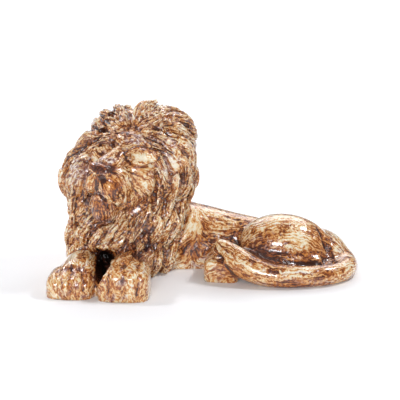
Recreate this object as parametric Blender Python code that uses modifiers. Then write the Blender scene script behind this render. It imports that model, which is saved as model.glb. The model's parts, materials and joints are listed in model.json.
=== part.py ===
"""A glazed ceramic lion lying down, forelegs forward, its body curling to one side.

Metres, +Z up.  The lion looks along -Y with its head turned towards -X; its body
runs to +X and its tail comes round in front of the haunch.  The origin is under
the middle of the figure, on the surface that it rests on.

Everything on the figure is a share of its length, which is 98 units.
"""
import math
import random

import bmesh
import bpy
import numpy as np
from mathutils import Euler, Matrix, Vector
from mathutils.bvhtree import BVHTree
from mathutils.kdtree import KDTree

# Driving size: the figure's length from the far paw to the rump.
LENGTH = 0.46
UNIT = LENGTH / 98

# Fineness of the modelling: voxels and the steps of a stroke, in units.
VOXEL = 0.5
DETAIL_VOXEL = 0.5
MARK_STEP = 0.4
STROKE_REACH = 1.5
TRIANGLES = 9900

# The head: where the middle of the eyes is, and how the face is turned.
EYES = Vector((-23.7, -13.0, 41.5))
HEAD_YAW = 40
HEAD_ROLL = -6

# Locks of the mane: middle lengths and half widths, the share by which each lock's size
# differs from them, and the groove between two locks.
FAN_LOCK = 11.5
FRAME_LOCK = 14
FINE_LOCK_WIDTH = 1.75
CROWN_LOCK = 18.5
CROWN_LOCK_WIDTH = 2.3
CHEST_LOCK = 13.5
CHEST_LOCK_WIDTH = 2.1
LOCK_SPREAD = 0.14
LOCK_GROOVE = 0.75
LOCK_DEPTH = 1.2
LOCK_SWAY = 0.6

# Strokes along a lock: how far across it each runs (in its radius), its half width and depth.
LOCK_LINES = ((-1, LOCK_GROOVE, LOCK_DEPTH), (1, LOCK_GROOVE, LOCK_DEPTH))

# The locks that fan out from the parting over the crown: the angle they fill, the angle of the
# middle one, and how far each one's tip stands off.
FAN_SPREAD = 200
FAN_TURN = 5
FAN_LIFTS = (0.4, 0.6, 1.0, 0.6, 0.6, 0.4, 1.0, 3.6, 0.3, 0.3, 1.4, 1.6, 1.4, 1.0, 0.6)

# The locks that frame the face, and the distance between the rest, which are scattered.
FRAME_COUNT = 24
LOCK_SPACING = 4.6
SCATTER_TRIES = 5000
SCATTER_BOX = ((-46, 2), (-26, 18), (7, 58))
CHEST_TOP = 32

# Where the mane ends: towards the rump at the neck, how that edge slopes in below, and its foot.
MANE_BACK = 2
MANE_SLOPE = 0.42
MANE_FOOT = 7

# Below this height it lies only over the near elbow: right of the far leg, and this deep.
ELBOW_TOP = 16
ELBOW_LEFT = -36
ELBOW_DEPTH = (-12, 4)

GLAZE = (0.42, 0.21, 0.09, 1.0)
GLAZE_ROUGHNESS = 0.22

IDENTITY = Matrix.Identity(3)


def turned(x=0, y=0, z=0):
    return Euler([math.radians(a) for a in (x, y, z)]).to_matrix()


def head_axes():
    """The face's own directions, as columns: forward, to its left and up."""
    yaw = turned(z=-HEAD_YAW)
    forward = yaw @ Vector((0, -1, 0))
    left = yaw @ Vector((1, 0, 0))
    roll = Matrix.Rotation(math.radians(HEAD_ROLL), 3, forward)
    return Matrix((forward, roll @ left, roll @ Vector((0, 0, 1)))).transposed()


HEAD = head_axes()


def on_head(forward, side, up):
    return EYES + HEAD @ Vector((forward, side, up))


def mesh_object(bm, name):
    mesh = bpy.data.meshes.new(name)
    bm.to_mesh(mesh)
    bm.free()
    obj = bpy.data.objects.new(name, mesh)
    bpy.context.scene.collection.objects.link(obj)
    return obj


def evaluated(obj, name):
    """The object's evaluated mesh as a new object; the old one is removed."""
    graph = bpy.context.evaluated_depsgraph_get()
    mesh = bpy.data.meshes.new_from_object(obj.evaluated_get(graph))
    bpy.data.objects.remove(obj)
    made = bpy.data.objects.new(name, mesh)
    bpy.context.scene.collection.objects.link(made)
    return made


def lump(bm, centre, radii, turn=IDENTITY, squareness=0):
    """An ellipsoid in units; squareness draws it out towards a rounded box."""
    ball = bmesh.ops.create_uvsphere(bm, u_segments=32, v_segments=20, radius=1)
    power = 2 + squareness
    frame = Matrix.Translation(Vector(centre)) @ turn.to_4x4() @ Matrix.Diagonal((*radii, 1))
    for vert in ball["verts"]:
        size = sum(abs(c) ** power for c in vert.co) ** (1 / power)
        vert.co = UNIT * (frame @ (vert.co / size))


def head_lump(bm, place, radii, turn=IDENTITY, squareness=0):
    lump(bm, on_head(*place), radii, HEAD @ turn, squareness)


def strands(routes, bevel, resolution=4):
    """Tubes along smooth routes of (x, y, z, radius), in units, as one mesh object."""
    curve = bpy.data.curves.new("strand", "CURVE")
    curve.dimensions = "3D"
    curve.bevel_depth = UNIT
    curve.bevel_resolution = bevel
    curve.resolution_u = resolution
    curve.use_fill_caps = True
    for route in routes:
        line = curve.splines.new("NURBS")
        line.points.add(len(route) - 1)
        line.order_u = 3
        line.use_endpoint_u = True
        for point, (x, y, z, radius) in zip(line.points, route):
            point.co = (x * UNIT, y * UNIT, z * UNIT, 1)
            point.radius = radius
    obj = bpy.data.objects.new("strand", curve)
    bpy.context.scene.collection.objects.link(obj)
    made = evaluated(obj, "strand")
    bpy.data.curves.remove(curve)
    bm = bmesh.new()
    bm.from_mesh(made.data)
    bmesh.ops.remove_doubles(bm, verts=bm.verts, dist=1e-6)
    bm.to_mesh(made.data)
    bm.free()
    return made


def fused(pieces, smoothing, name, voxel=VOXEL):
    """Joins the pieces into one skin and smooths it."""
    bm = bmesh.new()
    for piece in pieces:
        bm.from_mesh(piece.data)
        bpy.data.objects.remove(piece)
    obj = mesh_object(bm, name)
    remesh = obj.modifiers.new("skin", "REMESH")
    remesh.mode = "VOXEL"
    remesh.voxel_size = voxel * UNIT
    if smoothing:
        smooth = obj.modifiers.new("smooth", "SMOOTH")
        smooth.factor = 0.5
        smooth.iterations = round(smoothing * (0.5 / voxel) ** 2)
    return evaluated(obj, name)


def body():
    """The trunk, lying from the shoulders round to the rump, with both thighs."""
    back = strands([[(-24, 1, 15, 13), (-12, 4.5, 11.0, 11.0), (0, 6.5, 8.8, 9.9),
                     (12, 6, 7.0, 8.6), (24, 3, 6.0, 8.0), (36, 1, 4.6, 7.2), (41, 0, 4.0, 6.4)]], bevel=6)
    bm = bmesh.new()
    lump(bm, (-25, 0, 19), (16, 13, 18))
    lump(bm, (-14, -2.5, 5), (8.2, 8.0, 7.2), turned(z=20))
    lump(bm, (-31, -0.5, 5), (12.5, 9.5, 9), squareness=1)
    lump(bm, (-3, 3, 4), (12, 7.5, 8), squareness=1)
    lump(bm, (9, 5, 3), (12, 7, 7), squareness=1)
    lump(bm, (27.5, -5, 8.6), (14.8, 10.0, 10.0), turned(y=8))
    lump(bm, (38.0, -1.5, 4.9), (10.8, 11, 7.8), turned(y=14))
    lump(bm, (28, 8, 5.0), (15, 9, 7))
    return [back, mesh_object(bm, "trunk")]


def hind_leg():
    shank = strands([[(38, -12, 4.0, 3.8), (28, -15.0, 4.4, 3.8), (18, -14.2, 5.0, 4.0),
                      (11, -11, 5.5, 4.2)]], bevel=6)
    bm = bmesh.new()
    lump(bm, (7.0, -12.6, 2.6), (5.6, 5.2, 5.0), turned(z=-8), 4)
    lump(bm, (7.6, -7, 4.0), (5.0, 7.0, 4.5), turned(z=-8), 1)
    lump(bm, (42, -8, 2.0), (5, 9, 4.5))
    lump(bm, (30, -13, 1), (16, 8, 3.2))
    return [shank, mesh_object(bm, "foot")]


def tail():
    return strands([[(42, 4, 3.5, 5), (47.2, -4, 3.0, 4.0), (46.6, -13.5, 2.8, 3.5), (40, -19.0, 2.9, 3.4),
                     (30, -21.0, 2.9, 3.6), (20, -20.0, 3.4, 4.1), (12.5, -16.8, 6.2, 4.6),
                     (8, -14.2, 9.6, 3.7), (4.8, -12.8, 11.4, 2.3)]], bevel=6)


def forelegs():
    legs = strands([
        [(-35.5, 0, 12, 7.5), (-36.0, -12, 5.4, 6.4), (-37.2, -19, 4.6, 6.0), (-38.8, -27, 4.2, 5.7)],
        [(-17, 0, 9, 8.0), (-20.3, -10, 5.6, 6.8), (-22.2, -19, 4.8, 6.3), (-23.2, -28, 4.4, 5.9)]], bevel=6)
    bm = bmesh.new()
    lump(bm, (-30.8, -17, 0.4), (4.5, 12, 2.6))
    lump(bm, (-30.4, -13, 13.2), (5.0, 8.6, 3.4))
    lump(bm, (-39.6, -26.2, 1.2), (7.7, 7.6, 6.4), turned(z=-6), 1.6)
    lump(bm, (-23.3, -28.4, 2.4), (8.0, 7.8, 7.4), turned(z=-3), 3)
    return [legs, mesh_object(bm, "paws")]


def leg_gap():
    """What is cut away between the forelegs, from the paws in under the chest."""
    bm = bmesh.new()
    lump(bm, (-29.9, -15, 7.0), (2.2, 14.5, 4.4), turned(y=16, z=-4))
    lump(bm, (-30.2, -27.5, 8.2), (2.4, 8, 4.8), turned(y=12, z=-4))
    return fused([mesh_object(bm, "leg_gap")], 0, "leg_gap")


def mane_mass():
    bm = bmesh.new()
    head_lump(bm, (-11.5, 1.4, -1.2), (8, 14.0, 13.4), turned(x=3))
    lump(bm, (-17.5, 2, 39.3), (14.2, 13, 12.5), turned(y=-8))
    lump(bm, (-9.9, -6, 36), (7.5, 9, 12))
    lump(bm, (-11, -2, 42.9), (9.1, 9.5, 9.0))
    lump(bm, (-35.8, -4, 31), (8.2, 8, 8.6))
    lump(bm, (-29.0, -2, 39.0), (8.8, 8.6, 8.4))
    lump(bm, (-24, -1, 42), (10.5, 10.5, 10.5))
    lump(bm, (-27, 0, 34), (15.5, 12.5, 12.8), turned(y=-51))
    lump(bm, (-15, 2, 30), (14.2, 13.5, 13))
    lump(bm, (-29.4, -3.5, 22.5), (11.8, 10.5, 14), squareness=1)
    lump(bm, (-19, -5, 19), (13.0, 10.5, 12))
    lump(bm, (-28, -10.5, 15), (10.5, 9.5, 7.5))
    return mesh_object(bm, "mane_mass")


def skull():
    bm = bmesh.new()
    head_lump(bm, (-9, 0, -1), (9.8, 11.0, 9.5))
    head_lump(bm, (-3.2, 0, 2.6), (4.6, 9.6, 3.6))
    head_lump(bm, (-4.6, 0, -7.0), (8.6, 10.0, 11.0))
    head_lump(bm, (3.5, 0, -9.5), (8.2, 6.5, 7.0), squareness=1)
    head_lump(bm, (6.8, 0, -16.4), (4.7, 3.8, 5.4), squareness=0.5)
    head_lump(bm, (-1, 0, -13), (8, 6.8, 7))
    head_lump(bm, (10.7, 0, -4.0), (1.6, 4.2, 2.3), turned(y=-15), 1)
    for side in (1, -1):
        head_lump(bm, (8.2, side * 3.1, -9.6), (3.7, 3.4, 4.4))
    bridge = strands([[(*on_head(f, 0, u), r) for f, u, r in
                       ((-3, -0.6, 4.4), (3, -2.6, 4.2), (8.6, -4.2, 3.7))]], bevel=6)
    return [mesh_object(bm, "skull"), bridge]


def eyes():
    """The eyeballs with their lids."""
    bm = bmesh.new()
    for side in (1, -1):
        head_lump(bm, (-2.1, side * 7.2, 0.2), (2.5, 4.8, 2.1), turned(z=side * 24))
    upper = ((1.8, 2.2, 0.1, 0.6), (1.2, 4.6, 2.3, 0.8), (-0.6, 8.0, 3.1, 0.9), (-4.0, 11.6, 1.7, 0.8))
    lower = ((1.6, 2.4, -0.3, 0.5), (1.0, 5.4, -2.2, 0.6), (-1.4, 8.8, -2.0, 0.6), (-4.2, 11.4, 0.6, 0.6))
    lids = strands([[(*on_head(f, side * s, u), r) for f, s, u, r in lid]
                    for lid in (upper, lower) for side in (1, -1)], bevel=2)
    return fused([lids, mesh_object(bm, "eyes")], 1, "eyes", DETAIL_VOXEL)


def skin_of(obj):
    """A search tree over the object's skin, in units."""
    bm = bmesh.new()
    bm.from_mesh(obj.data)
    bm.transform(Matrix.Scale(1 / UNIT, 4))
    tree = BVHTree.FromBMesh(bm)
    bm.free()
    return tree


def carved(obj, strokes):
    """Presses strokes into the skin: each is a route in units, a half width and a depth."""
    skin = skin_of(obj)
    marks = []
    for route, half_width, depth in strokes:
        found = [skin.find_nearest(Vector(point)) for point in route]
        route = [place for place, _, _, gap in found if gap < STROKE_REACH]
        sizes = [(b - a).length for a, b in zip(route, route[1:])]
        done = 0
        for start, end, size in zip(route, route[1:], sizes):
            pieces = max(1, math.ceil(size / MARK_STEP))
            for i in range(pieces):
                share = (done + size * i / pieces) / sum(sizes)
                taper = min(1, 4 * min(share, 1 - share) + 0.2)
                marks.append((start.lerp(end, i / pieces), half_width, depth * taper))
            done += size
    tree = KDTree(len(marks))
    for i, (place, _, _) in enumerate(marks):
        tree.insert(place, i)
    tree.balance()
    mesh = obj.data
    normals = [vert.normal.copy() for vert in mesh.vertices]
    for vert, normal in zip(mesh.vertices, normals):
        pressed = 0
        for _, i, gap in tree.find_n(vert.co / UNIT, 4):
            _, half_width, depth = marks[i]
            here = depth * math.exp(-(gap / half_width) ** 2)
            if abs(here) > abs(pressed):
                pressed = here
        vert.co -= normal * (pressed * UNIT)
    mesh.update()
    return obj


def arc(points, steps=4):
    """A smooth route through the points, as a Catmull-Rom curve."""
    ends = [points[0], *points, points[-1]]
    route = []
    for a, b, c, d in zip(ends, ends[1:], ends[2:], ends[3:]):
        a, b, c, d = (Vector(p) for p in (a, b, c, d))
        for i in range(steps):
            t = i / steps
            route.append(0.5 * (2 * b + (c - a) * t + (2 * a - 5 * b + 4 * c - d) * t ** 2
                                + (3 * b - a - 3 * c + d) * t ** 3))
    return [*route, Vector(points[-1])]


def face_strokes():
    """The mouth, the nostrils and the hollows of the eyes."""
    strokes = [(arc([on_head(12.8, 0, -6.0), on_head(12.0, 0, -8.5), on_head(11.5, 0, -11)]), 0.8, 0.9)]
    for side in (1, -1):
        mouth = [on_head(11.2, 0, -10.8), on_head(10.8, 2.0 * side, -12.0),
                 on_head(9.4, 3.6 * side, -13.8), on_head(7.2, 4.6 * side, -15.8)]
        strokes.append((arc(mouth), 0.8, 1.8))
        strokes.append(([on_head(12.6, 2.0 * side, -6.0), on_head(12.0, 3.2 * side, -5.8)], 0.9, 1.5))
        socket = [on_head(1.6, 2.6 * side, -0.1), on_head(0.6, 5.6 * side, 0.2),
                  on_head(-1.4, 8.4 * side, 0.6), on_head(-4, 11 * side, 1.2)]
        strokes.append((arc(socket), 2.2, 1.8))
    return strokes


def toe_strokes():
    strokes = []
    for middle, front, width in ((-39.6, -33.4, 15.4), (-23.3, -35.8, 16.0)):
        for share in (-0.27, 0, 0.27):
            x = middle + share * width
            route = [(x, front + 9, 9), (x, front + 2, 7.5), (x, front, 3.5), (x, front, 0)]
            strokes.append((arc(route), 0.8, 0.6))
    return strokes


def body_strokes():
    """Creases round the haunch and where the hind foot lies under the tail."""
    return [
        (arc([(36.5, -6, 14), (40.5, -9.5, 11), (42, -13.5, 7.5), (40, -16.5, 6)]), 1.1, 1.4),
        (arc([(13, -12.5, 7.5), (20, -15.2, 6.0), (30, -16.2, 5.6), (40, -16.5, 6)]), 1.1, 1.2),
        (arc([(6.4, -16, 8.2), (9, -17, 6.8), (12.4, -17.8, 4.5)]), 1.0, 1.6),
    ]


# The parting, from which the hair of the crown lies away.
CROWN = on_head(-1.0, 1.0, 6.4)

# Under the chin, the hair sweeps across: the middle of that place and how far it reaches.
UNDER_CHIN = Vector((-29, -15, 20))
SWEEP_REACH = 8

# The bare face, which the locks surround: the middle, half width and half height.
FACE_MIDDLE = -8
FACE_SIZE = (11.5, 14)


def in_face(point):
    _, side, up = HEAD.transposed() @ (point - EYES)
    return math.hypot(side / FACE_SIZE[0], (up - FACE_MIDDLE) / FACE_SIZE[1]) < 1


def mane_flow(point):
    """The way that the hair lies: away from the face on top, down and inwards below."""
    top = min(1, max(0, (point.z - 30) / 16))
    low = min(1, max(0, (38 - point.z) / 14))
    away = (point - CROWN).normalized() * (0.35 + 1.1 * top)
    down = Vector((0, 0, -1)) * (1 - 0.85 * top)
    inwards = Vector((-0.026 * (point.x + 42), 0, 0)) * low
    sweep = Vector((-1.5, 0, 0)) * math.exp(-((point - UNDER_CHIN).length / SWEEP_REACH) ** 2)
    return away + down + inwards + sweep


def combed(skin, start, length, steps=8):
    """Walks over the skin from start the way the hair lies: points with normals."""
    point, normal, _, _ = skin.find_nearest(start)
    walk = [(point, normal)]
    for _ in range(steps - 1):
        way = mane_flow(point)
        way -= normal * way.dot(normal)
        point, normal, _, _ = skin.find_nearest(point + way.normalized() * (length / (steps - 1)))
        walk.append((point, normal))
    return walk


def lock(skin, start, length, width, lift, phase):
    """One lock's route, full in the middle and lifted at its tip, and the strokes along it."""
    walk = combed(skin, start, length)
    last = len(walk) - 1
    route = []
    lines = [[] for _ in LOCK_LINES]
    for i, (point, normal) in enumerate(walk):
        share = i / last
        along = walk[min(i + 1, last)][0] - walk[max(i - 1, 0)][0]
        across = normal.cross(along.normalized())
        sway = LOCK_SWAY * math.sin(2 * math.pi * phase + 4.2 * share)
        place = point + normal * (lift * share ** 2 - width * 0.25) + across * sway
        fullness = 0.62 + 0.55 * math.sin(math.pi * min(1, share * 1.05 + 0.12))
        radius = max(0.55 + 0.08 * lift, width * fullness * (1 - 0.62 * share ** 3))
        route.append((*place, radius))
        if share > 0.1:
            for line, (offset, _, _) in zip(lines, LOCK_LINES):
                out = across * offset + normal * (1 - 0.6 * abs(offset))
                line.append(place + out * radius)
    strokes = [(line, half_width, depth) for line, (_, half_width, depth) in zip(lines, LOCK_LINES)]
    return route, strokes


def in_mane(point):
    """Whether locks may start at a point: behind the face, down to the elbows."""
    edge = MANE_BACK - MANE_SLOPE * max(0, CHEST_TOP - point.z)
    if point.x > edge or point.z < MANE_FOOT or in_face(point):
        return False
    low, high = ELBOW_DEPTH
    return point.z > ELBOW_TOP or (point.x > ELBOW_LEFT and low < point.y < high)


def varied(size, draw):
    """A lock's own size: under or over the middle one, for a draw between 0 and 1."""
    return size * (1 + LOCK_SPREAD * (2 * draw - 1))


def named_starts(rnd):
    """The locks that fan out over the crown and those that frame the face."""
    starts = []
    for i, lift in enumerate(FAN_LIFTS):
        turn = FAN_TURN + FAN_SPREAD * (i / (len(FAN_LIFTS) - 1) - 0.5) + rnd.uniform(-3, 3)
        turn = math.radians(turn)
        start = CROWN + 2.5 * Vector((math.sin(turn), 0.3, math.cos(turn)))
        width = varied(FINE_LOCK_WIDTH, rnd.random()) + 0.2 * lift
        starts.append((start, varied(FAN_LOCK, rnd.random()), width, lift, rnd.random()))
    for i in range(FRAME_COUNT):
        turn = 2 * math.pi * (i + rnd.uniform(-0.15, 0.15)) / FRAME_COUNT
        length = varied(FRAME_LOCK, rnd.random())
        width = varied(FINE_LOCK_WIDTH, rnd.random())
        if math.cos(turn) < 0.7:
            side = FACE_SIZE[0] * math.sin(turn)
            start = on_head(-4, side, FACE_MIDDLE + FACE_SIZE[1] * math.cos(turn))
            starts.append((start, length, width, 0.3, rnd.random()))
    return starts


def scattered_starts(skin, taken, rnd):
    """The rest of the mane's locks, spread evenly over the skin."""
    starts = []
    taken = list(taken)
    for _ in range(SCATTER_TRIES):
        point = Vector([rnd.uniform(*side) for side in SCATTER_BOX])
        size, thickness, rise, phase = (rnd.random() for _ in range(4))
        start = skin.find_nearest(point)[0]
        if not in_mane(start) or min((start - other).length for other in taken) < LOCK_SPACING:
            continue
        taken.append(start)
        high = start.z > CHEST_TOP
        length, width = (CROWN_LOCK, CROWN_LOCK_WIDTH) if high else (CHEST_LOCK, CHEST_LOCK_WIDTH)
        lift = 0.2 + 0.1 * max(0, start.z - 40) * rise
        starts.append((start, varied(length, size), varied(width, thickness), lift, phase))
    return starts


def mane_locks(obj):
    """Every lock of the mane over the object's skin, as one object, with the strokes along them."""
    rnd = random.Random(3)
    skin = skin_of(obj)
    starts = named_starts(rnd)
    starts += scattered_starts(skin, [start[0] for start in starts], rnd)
    locks = [lock(skin, *start) for start in starts]
    strokes = [stroke for _, along in locks for stroke in along]
    return strands([route for route, _ in locks], bevel=2, resolution=3), strokes


def without(obj, cutter, name):
    cut = obj.modifiers.new("cut", "BOOLEAN")
    cut.operation = "DIFFERENCE"
    cut.object = cutter
    made = evaluated(obj, name)
    bpy.data.objects.remove(cutter)
    return made


def settled(obj):
    """The skin brought down to few triangles and cut flat where it rests."""
    obj.data.calc_loop_triangles()
    thin = obj.modifiers.new("thin", "DECIMATE")
    thin.ratio = TRIANGLES / len(obj.data.loop_triangles)
    obj = evaluated(obj, "lion")
    bm = bmesh.new()
    bmesh.ops.create_cube(bm, size=1, matrix=Matrix.Diagonal((2 * LENGTH, 2 * LENGTH, LENGTH, 1)))
    ground = mesh_object(bm, "ground")
    ground.location.z = -LENGTH / 2
    bpy.context.view_layer.update()
    obj = without(obj, ground, "lion")
    corners = np.array([v.co for v in obj.data.vertices])
    middle = (corners.min(axis=0) + corners.max(axis=0)) / 2
    obj.data.transform(Matrix.Translation((-middle[0], -middle[1], 0)))
    return obj


def lion():
    limbs = fused(body() + hind_leg() + forelegs() + [tail()], 14, "limbs")
    limbs = without(limbs, leg_gap(), "limbs")
    bulk = fused([limbs, fused([mane_mass()], 20, "mane")], 1, "bulk")
    locks, strokes = mane_locks(bulk)
    head = carved(fused(skull(), 4, "head"), face_strokes())
    figure = fused([bulk, locks, head, eyes()], 1, "lion")
    return settled(carved(figure, strokes + toe_strokes() + body_strokes()))


def glaze():
    material = bpy.data.materials.new("glaze")
    material.use_nodes = True
    shader = material.node_tree.nodes["Principled BSDF"]
    shader.inputs["Base Color"].default_value = GLAZE
    shader.inputs["Roughness"].default_value = GLAZE_ROUGHNESS
    shader.inputs["Metallic"].default_value = 0
    return material


def main():
    for obj in list(bpy.data.objects):
        bpy.data.objects.remove(obj)
    figure = lion()
    figure.data.materials.clear()
    figure.data.materials.append(glaze())
    figure.data.shade_flat()
    collection = bpy.data.collections.new("lion_sculpture")
    bpy.context.scene.collection.children.link(collection)
    bpy.context.scene.collection.objects.unlink(figure)
    collection.objects.link(figure)


main()
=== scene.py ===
"""The looks of the ceramic lion: its fine carving, its streaked glaze, light and camera.

Lengths of the figure are in units, of which its length holds FIGURE_LENGTH.
"""
import json
import math
import random

import bmesh
import bpy
import numpy as np
from mathutils import Euler, Matrix, Vector
from mathutils.bvhtree import BVHTree
from mathutils.kdtree import KDTree

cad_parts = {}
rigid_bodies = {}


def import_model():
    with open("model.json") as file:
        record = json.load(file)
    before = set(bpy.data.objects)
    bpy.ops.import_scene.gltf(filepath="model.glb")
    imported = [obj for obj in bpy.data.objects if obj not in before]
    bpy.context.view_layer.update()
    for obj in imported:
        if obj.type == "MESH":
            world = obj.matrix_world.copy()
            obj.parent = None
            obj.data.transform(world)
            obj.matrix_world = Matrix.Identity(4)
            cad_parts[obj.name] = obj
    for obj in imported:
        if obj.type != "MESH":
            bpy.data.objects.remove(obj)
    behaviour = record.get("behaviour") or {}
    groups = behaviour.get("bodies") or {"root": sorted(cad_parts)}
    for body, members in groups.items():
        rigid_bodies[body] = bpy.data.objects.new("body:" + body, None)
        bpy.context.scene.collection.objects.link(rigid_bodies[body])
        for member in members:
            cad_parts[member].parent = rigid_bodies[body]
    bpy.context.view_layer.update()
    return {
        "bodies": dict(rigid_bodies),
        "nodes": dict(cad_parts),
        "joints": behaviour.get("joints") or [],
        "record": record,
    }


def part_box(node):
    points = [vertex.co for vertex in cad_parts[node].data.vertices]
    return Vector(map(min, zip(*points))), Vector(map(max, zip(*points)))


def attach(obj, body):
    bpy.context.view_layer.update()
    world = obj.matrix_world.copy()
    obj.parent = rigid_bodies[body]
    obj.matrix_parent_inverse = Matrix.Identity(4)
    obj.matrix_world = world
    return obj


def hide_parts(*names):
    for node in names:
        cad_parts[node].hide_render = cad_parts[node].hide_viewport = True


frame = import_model()
LOW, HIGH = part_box("lion")

# The figure's length in units, as the solid is modelled.
FIGURE_LENGTH = 98.0
UNIT = (HIGH.x - LOW.x) / FIGURE_LENGTH

# Fineness of the modelling: voxels and the steps of a stroke, in units.
VOXEL = 0.5
DETAIL_VOXEL = 0.25
MARK_STEP = 0.25
STROKE_REACH = 1.5
TRIANGLES = 190000

# The head: where the middle of the eyes is, and how the face is turned.
EYES = Vector((-23.7, -13.0, 41.5))
HEAD_YAW = 40
HEAD_ROLL = -6

# Locks of the mane: middle lengths and half widths, the share by which each lock's size
# differs from them, and the groove between two locks.
FAN_LOCK = 11.5
FRAME_LOCK = 14
FINE_LOCK_WIDTH = 1.75
CROWN_LOCK = 18.5
CROWN_LOCK_WIDTH = 2.3
CHEST_LOCK = 13.5
CHEST_LOCK_WIDTH = 2.1
LOCK_SPREAD = 0.14
LOCK_GROOVE = 0.75
LOCK_DEPTH = 1.2
LOCK_SWAY = 0.6

# Strokes along a lock: how far across it each runs (in its radius), its half width and depth.
LOCK_LINES = ((-1, LOCK_GROOVE, LOCK_DEPTH), (1, LOCK_GROOVE, LOCK_DEPTH),
              (-0.5, 0.34, 0.7), (0, 0.34, 0.8), (0.5, 0.34, 0.7))

# The locks that fan out from the parting over the crown: the angle they fill, the angle of the
# middle one, and how far each one's tip stands off.
FAN_SPREAD = 200
FAN_TURN = 5
FAN_LIFTS = (0.4, 0.6, 1.0, 0.6, 0.6, 0.4, 1.0, 3.6, 0.3, 0.3, 1.4, 1.6, 1.4, 1.0, 0.6)

# The locks that frame the face, and the distance between the rest, which are scattered.
FRAME_COUNT = 24
LOCK_SPACING = 4.6
SCATTER_TRIES = 5000
SCATTER_BOX = ((-46, 2), (-26, 18), (7, 58))
CHEST_TOP = 32

# Where the mane ends: towards the rump at the neck, how that edge slopes in below, and its foot.
MANE_BACK = 2
MANE_SLOPE = 0.42
MANE_FOOT = 7

# Below this height it lies only over the near elbow: right of the far leg, and this deep.
ELBOW_TOP = 16
ELBOW_LEFT = -36
ELBOW_DEPTH = (-12, 4)

IDENTITY = Matrix.Identity(3)


def turned(x=0, y=0, z=0):
    return Euler([math.radians(a) for a in (x, y, z)]).to_matrix()


def head_axes():
    """The face's own directions, as columns: forward, to its left and up."""
    yaw = turned(z=-HEAD_YAW)
    forward = yaw @ Vector((0, -1, 0))
    left = yaw @ Vector((1, 0, 0))
    roll = Matrix.Rotation(math.radians(HEAD_ROLL), 3, forward)
    return Matrix((forward, roll @ left, roll @ Vector((0, 0, 1)))).transposed()


HEAD = head_axes()


def on_head(forward, side, up):
    return EYES + HEAD @ Vector((forward, side, up))


def mesh_object(bm, name):
    mesh = bpy.data.meshes.new(name)
    bm.to_mesh(mesh)
    bm.free()
    obj = bpy.data.objects.new(name, mesh)
    bpy.context.scene.collection.objects.link(obj)
    return obj


def evaluated(obj, name):
    """The object's evaluated mesh as a new object; the old one is removed."""
    graph = bpy.context.evaluated_depsgraph_get()
    mesh = bpy.data.meshes.new_from_object(obj.evaluated_get(graph))
    bpy.data.objects.remove(obj)
    made = bpy.data.objects.new(name, mesh)
    bpy.context.scene.collection.objects.link(made)
    return made


def lump(bm, centre, radii, turn=IDENTITY, squareness=0):
    """An ellipsoid in units; squareness draws it out towards a rounded box."""
    ball = bmesh.ops.create_uvsphere(bm, u_segments=32, v_segments=20, radius=1)
    power = 2 + squareness
    frame = Matrix.Translation(Vector(centre)) @ turn.to_4x4() @ Matrix.Diagonal((*radii, 1))
    for vert in ball["verts"]:
        size = sum(abs(c) ** power for c in vert.co) ** (1 / power)
        vert.co = UNIT * (frame @ (vert.co / size))


def head_lump(bm, place, radii, turn=IDENTITY, squareness=0):
    lump(bm, on_head(*place), radii, HEAD @ turn, squareness)


def strands(routes, bevel, resolution=4):
    """Tubes along smooth routes of (x, y, z, radius), in units, as one mesh object."""
    curve = bpy.data.curves.new("strand", "CURVE")
    curve.dimensions = "3D"
    curve.bevel_depth = UNIT
    curve.bevel_resolution = bevel
    curve.resolution_u = resolution
    curve.use_fill_caps = True
    for route in routes:
        line = curve.splines.new("NURBS")
        line.points.add(len(route) - 1)
        line.order_u = 3
        line.use_endpoint_u = True
        for point, (x, y, z, radius) in zip(line.points, route):
            point.co = (x * UNIT, y * UNIT, z * UNIT, 1)
            point.radius = radius
    obj = bpy.data.objects.new("strand", curve)
    bpy.context.scene.collection.objects.link(obj)
    made = evaluated(obj, "strand")
    bpy.data.curves.remove(curve)
    bm = bmesh.new()
    bm.from_mesh(made.data)
    bmesh.ops.remove_doubles(bm, verts=bm.verts, dist=1e-6)
    bm.to_mesh(made.data)
    bm.free()
    return made


def fused(pieces, smoothing, name, voxel=VOXEL):
    """Joins the pieces into one skin and smooths it."""
    bm = bmesh.new()
    for piece in pieces:
        bm.from_mesh(piece.data)
        bpy.data.objects.remove(piece)
    obj = mesh_object(bm, name)
    remesh = obj.modifiers.new("skin", "REMESH")
    remesh.mode = "VOXEL"
    remesh.voxel_size = voxel * UNIT
    if smoothing:
        smooth = obj.modifiers.new("smooth", "SMOOTH")
        smooth.factor = 0.5
        smooth.iterations = round(smoothing * (0.5 / voxel) ** 2)
    return evaluated(obj, name)


def body():
    """The trunk, lying from the shoulders round to the rump, with both thighs."""
    back = strands([[(-24, 1, 15, 13), (-12, 4.5, 11.0, 11.0), (0, 6.5, 8.8, 9.9),
                     (12, 6, 7.0, 8.6), (24, 3, 6.0, 8.0), (36, 1, 4.6, 7.2), (41, 0, 4.0, 6.4)]], bevel=6)
    bm = bmesh.new()
    lump(bm, (-25, 0, 19), (16, 13, 18))
    lump(bm, (-14, -2.5, 5), (8.2, 8.0, 7.2), turned(z=20))
    lump(bm, (-31, -0.5, 5), (12.5, 9.5, 9), squareness=1)
    lump(bm, (-3, 3, 4), (12, 7.5, 8), squareness=1)
    lump(bm, (9, 5, 3), (12, 7, 7), squareness=1)
    lump(bm, (27.5, -5, 8.6), (14.8, 10.0, 10.0), turned(y=8))
    lump(bm, (38.0, -1.5, 4.9), (10.8, 11, 7.8), turned(y=14))
    lump(bm, (28, 8, 5.0), (15, 9, 7))
    return [back, mesh_object(bm, "trunk")]


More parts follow.
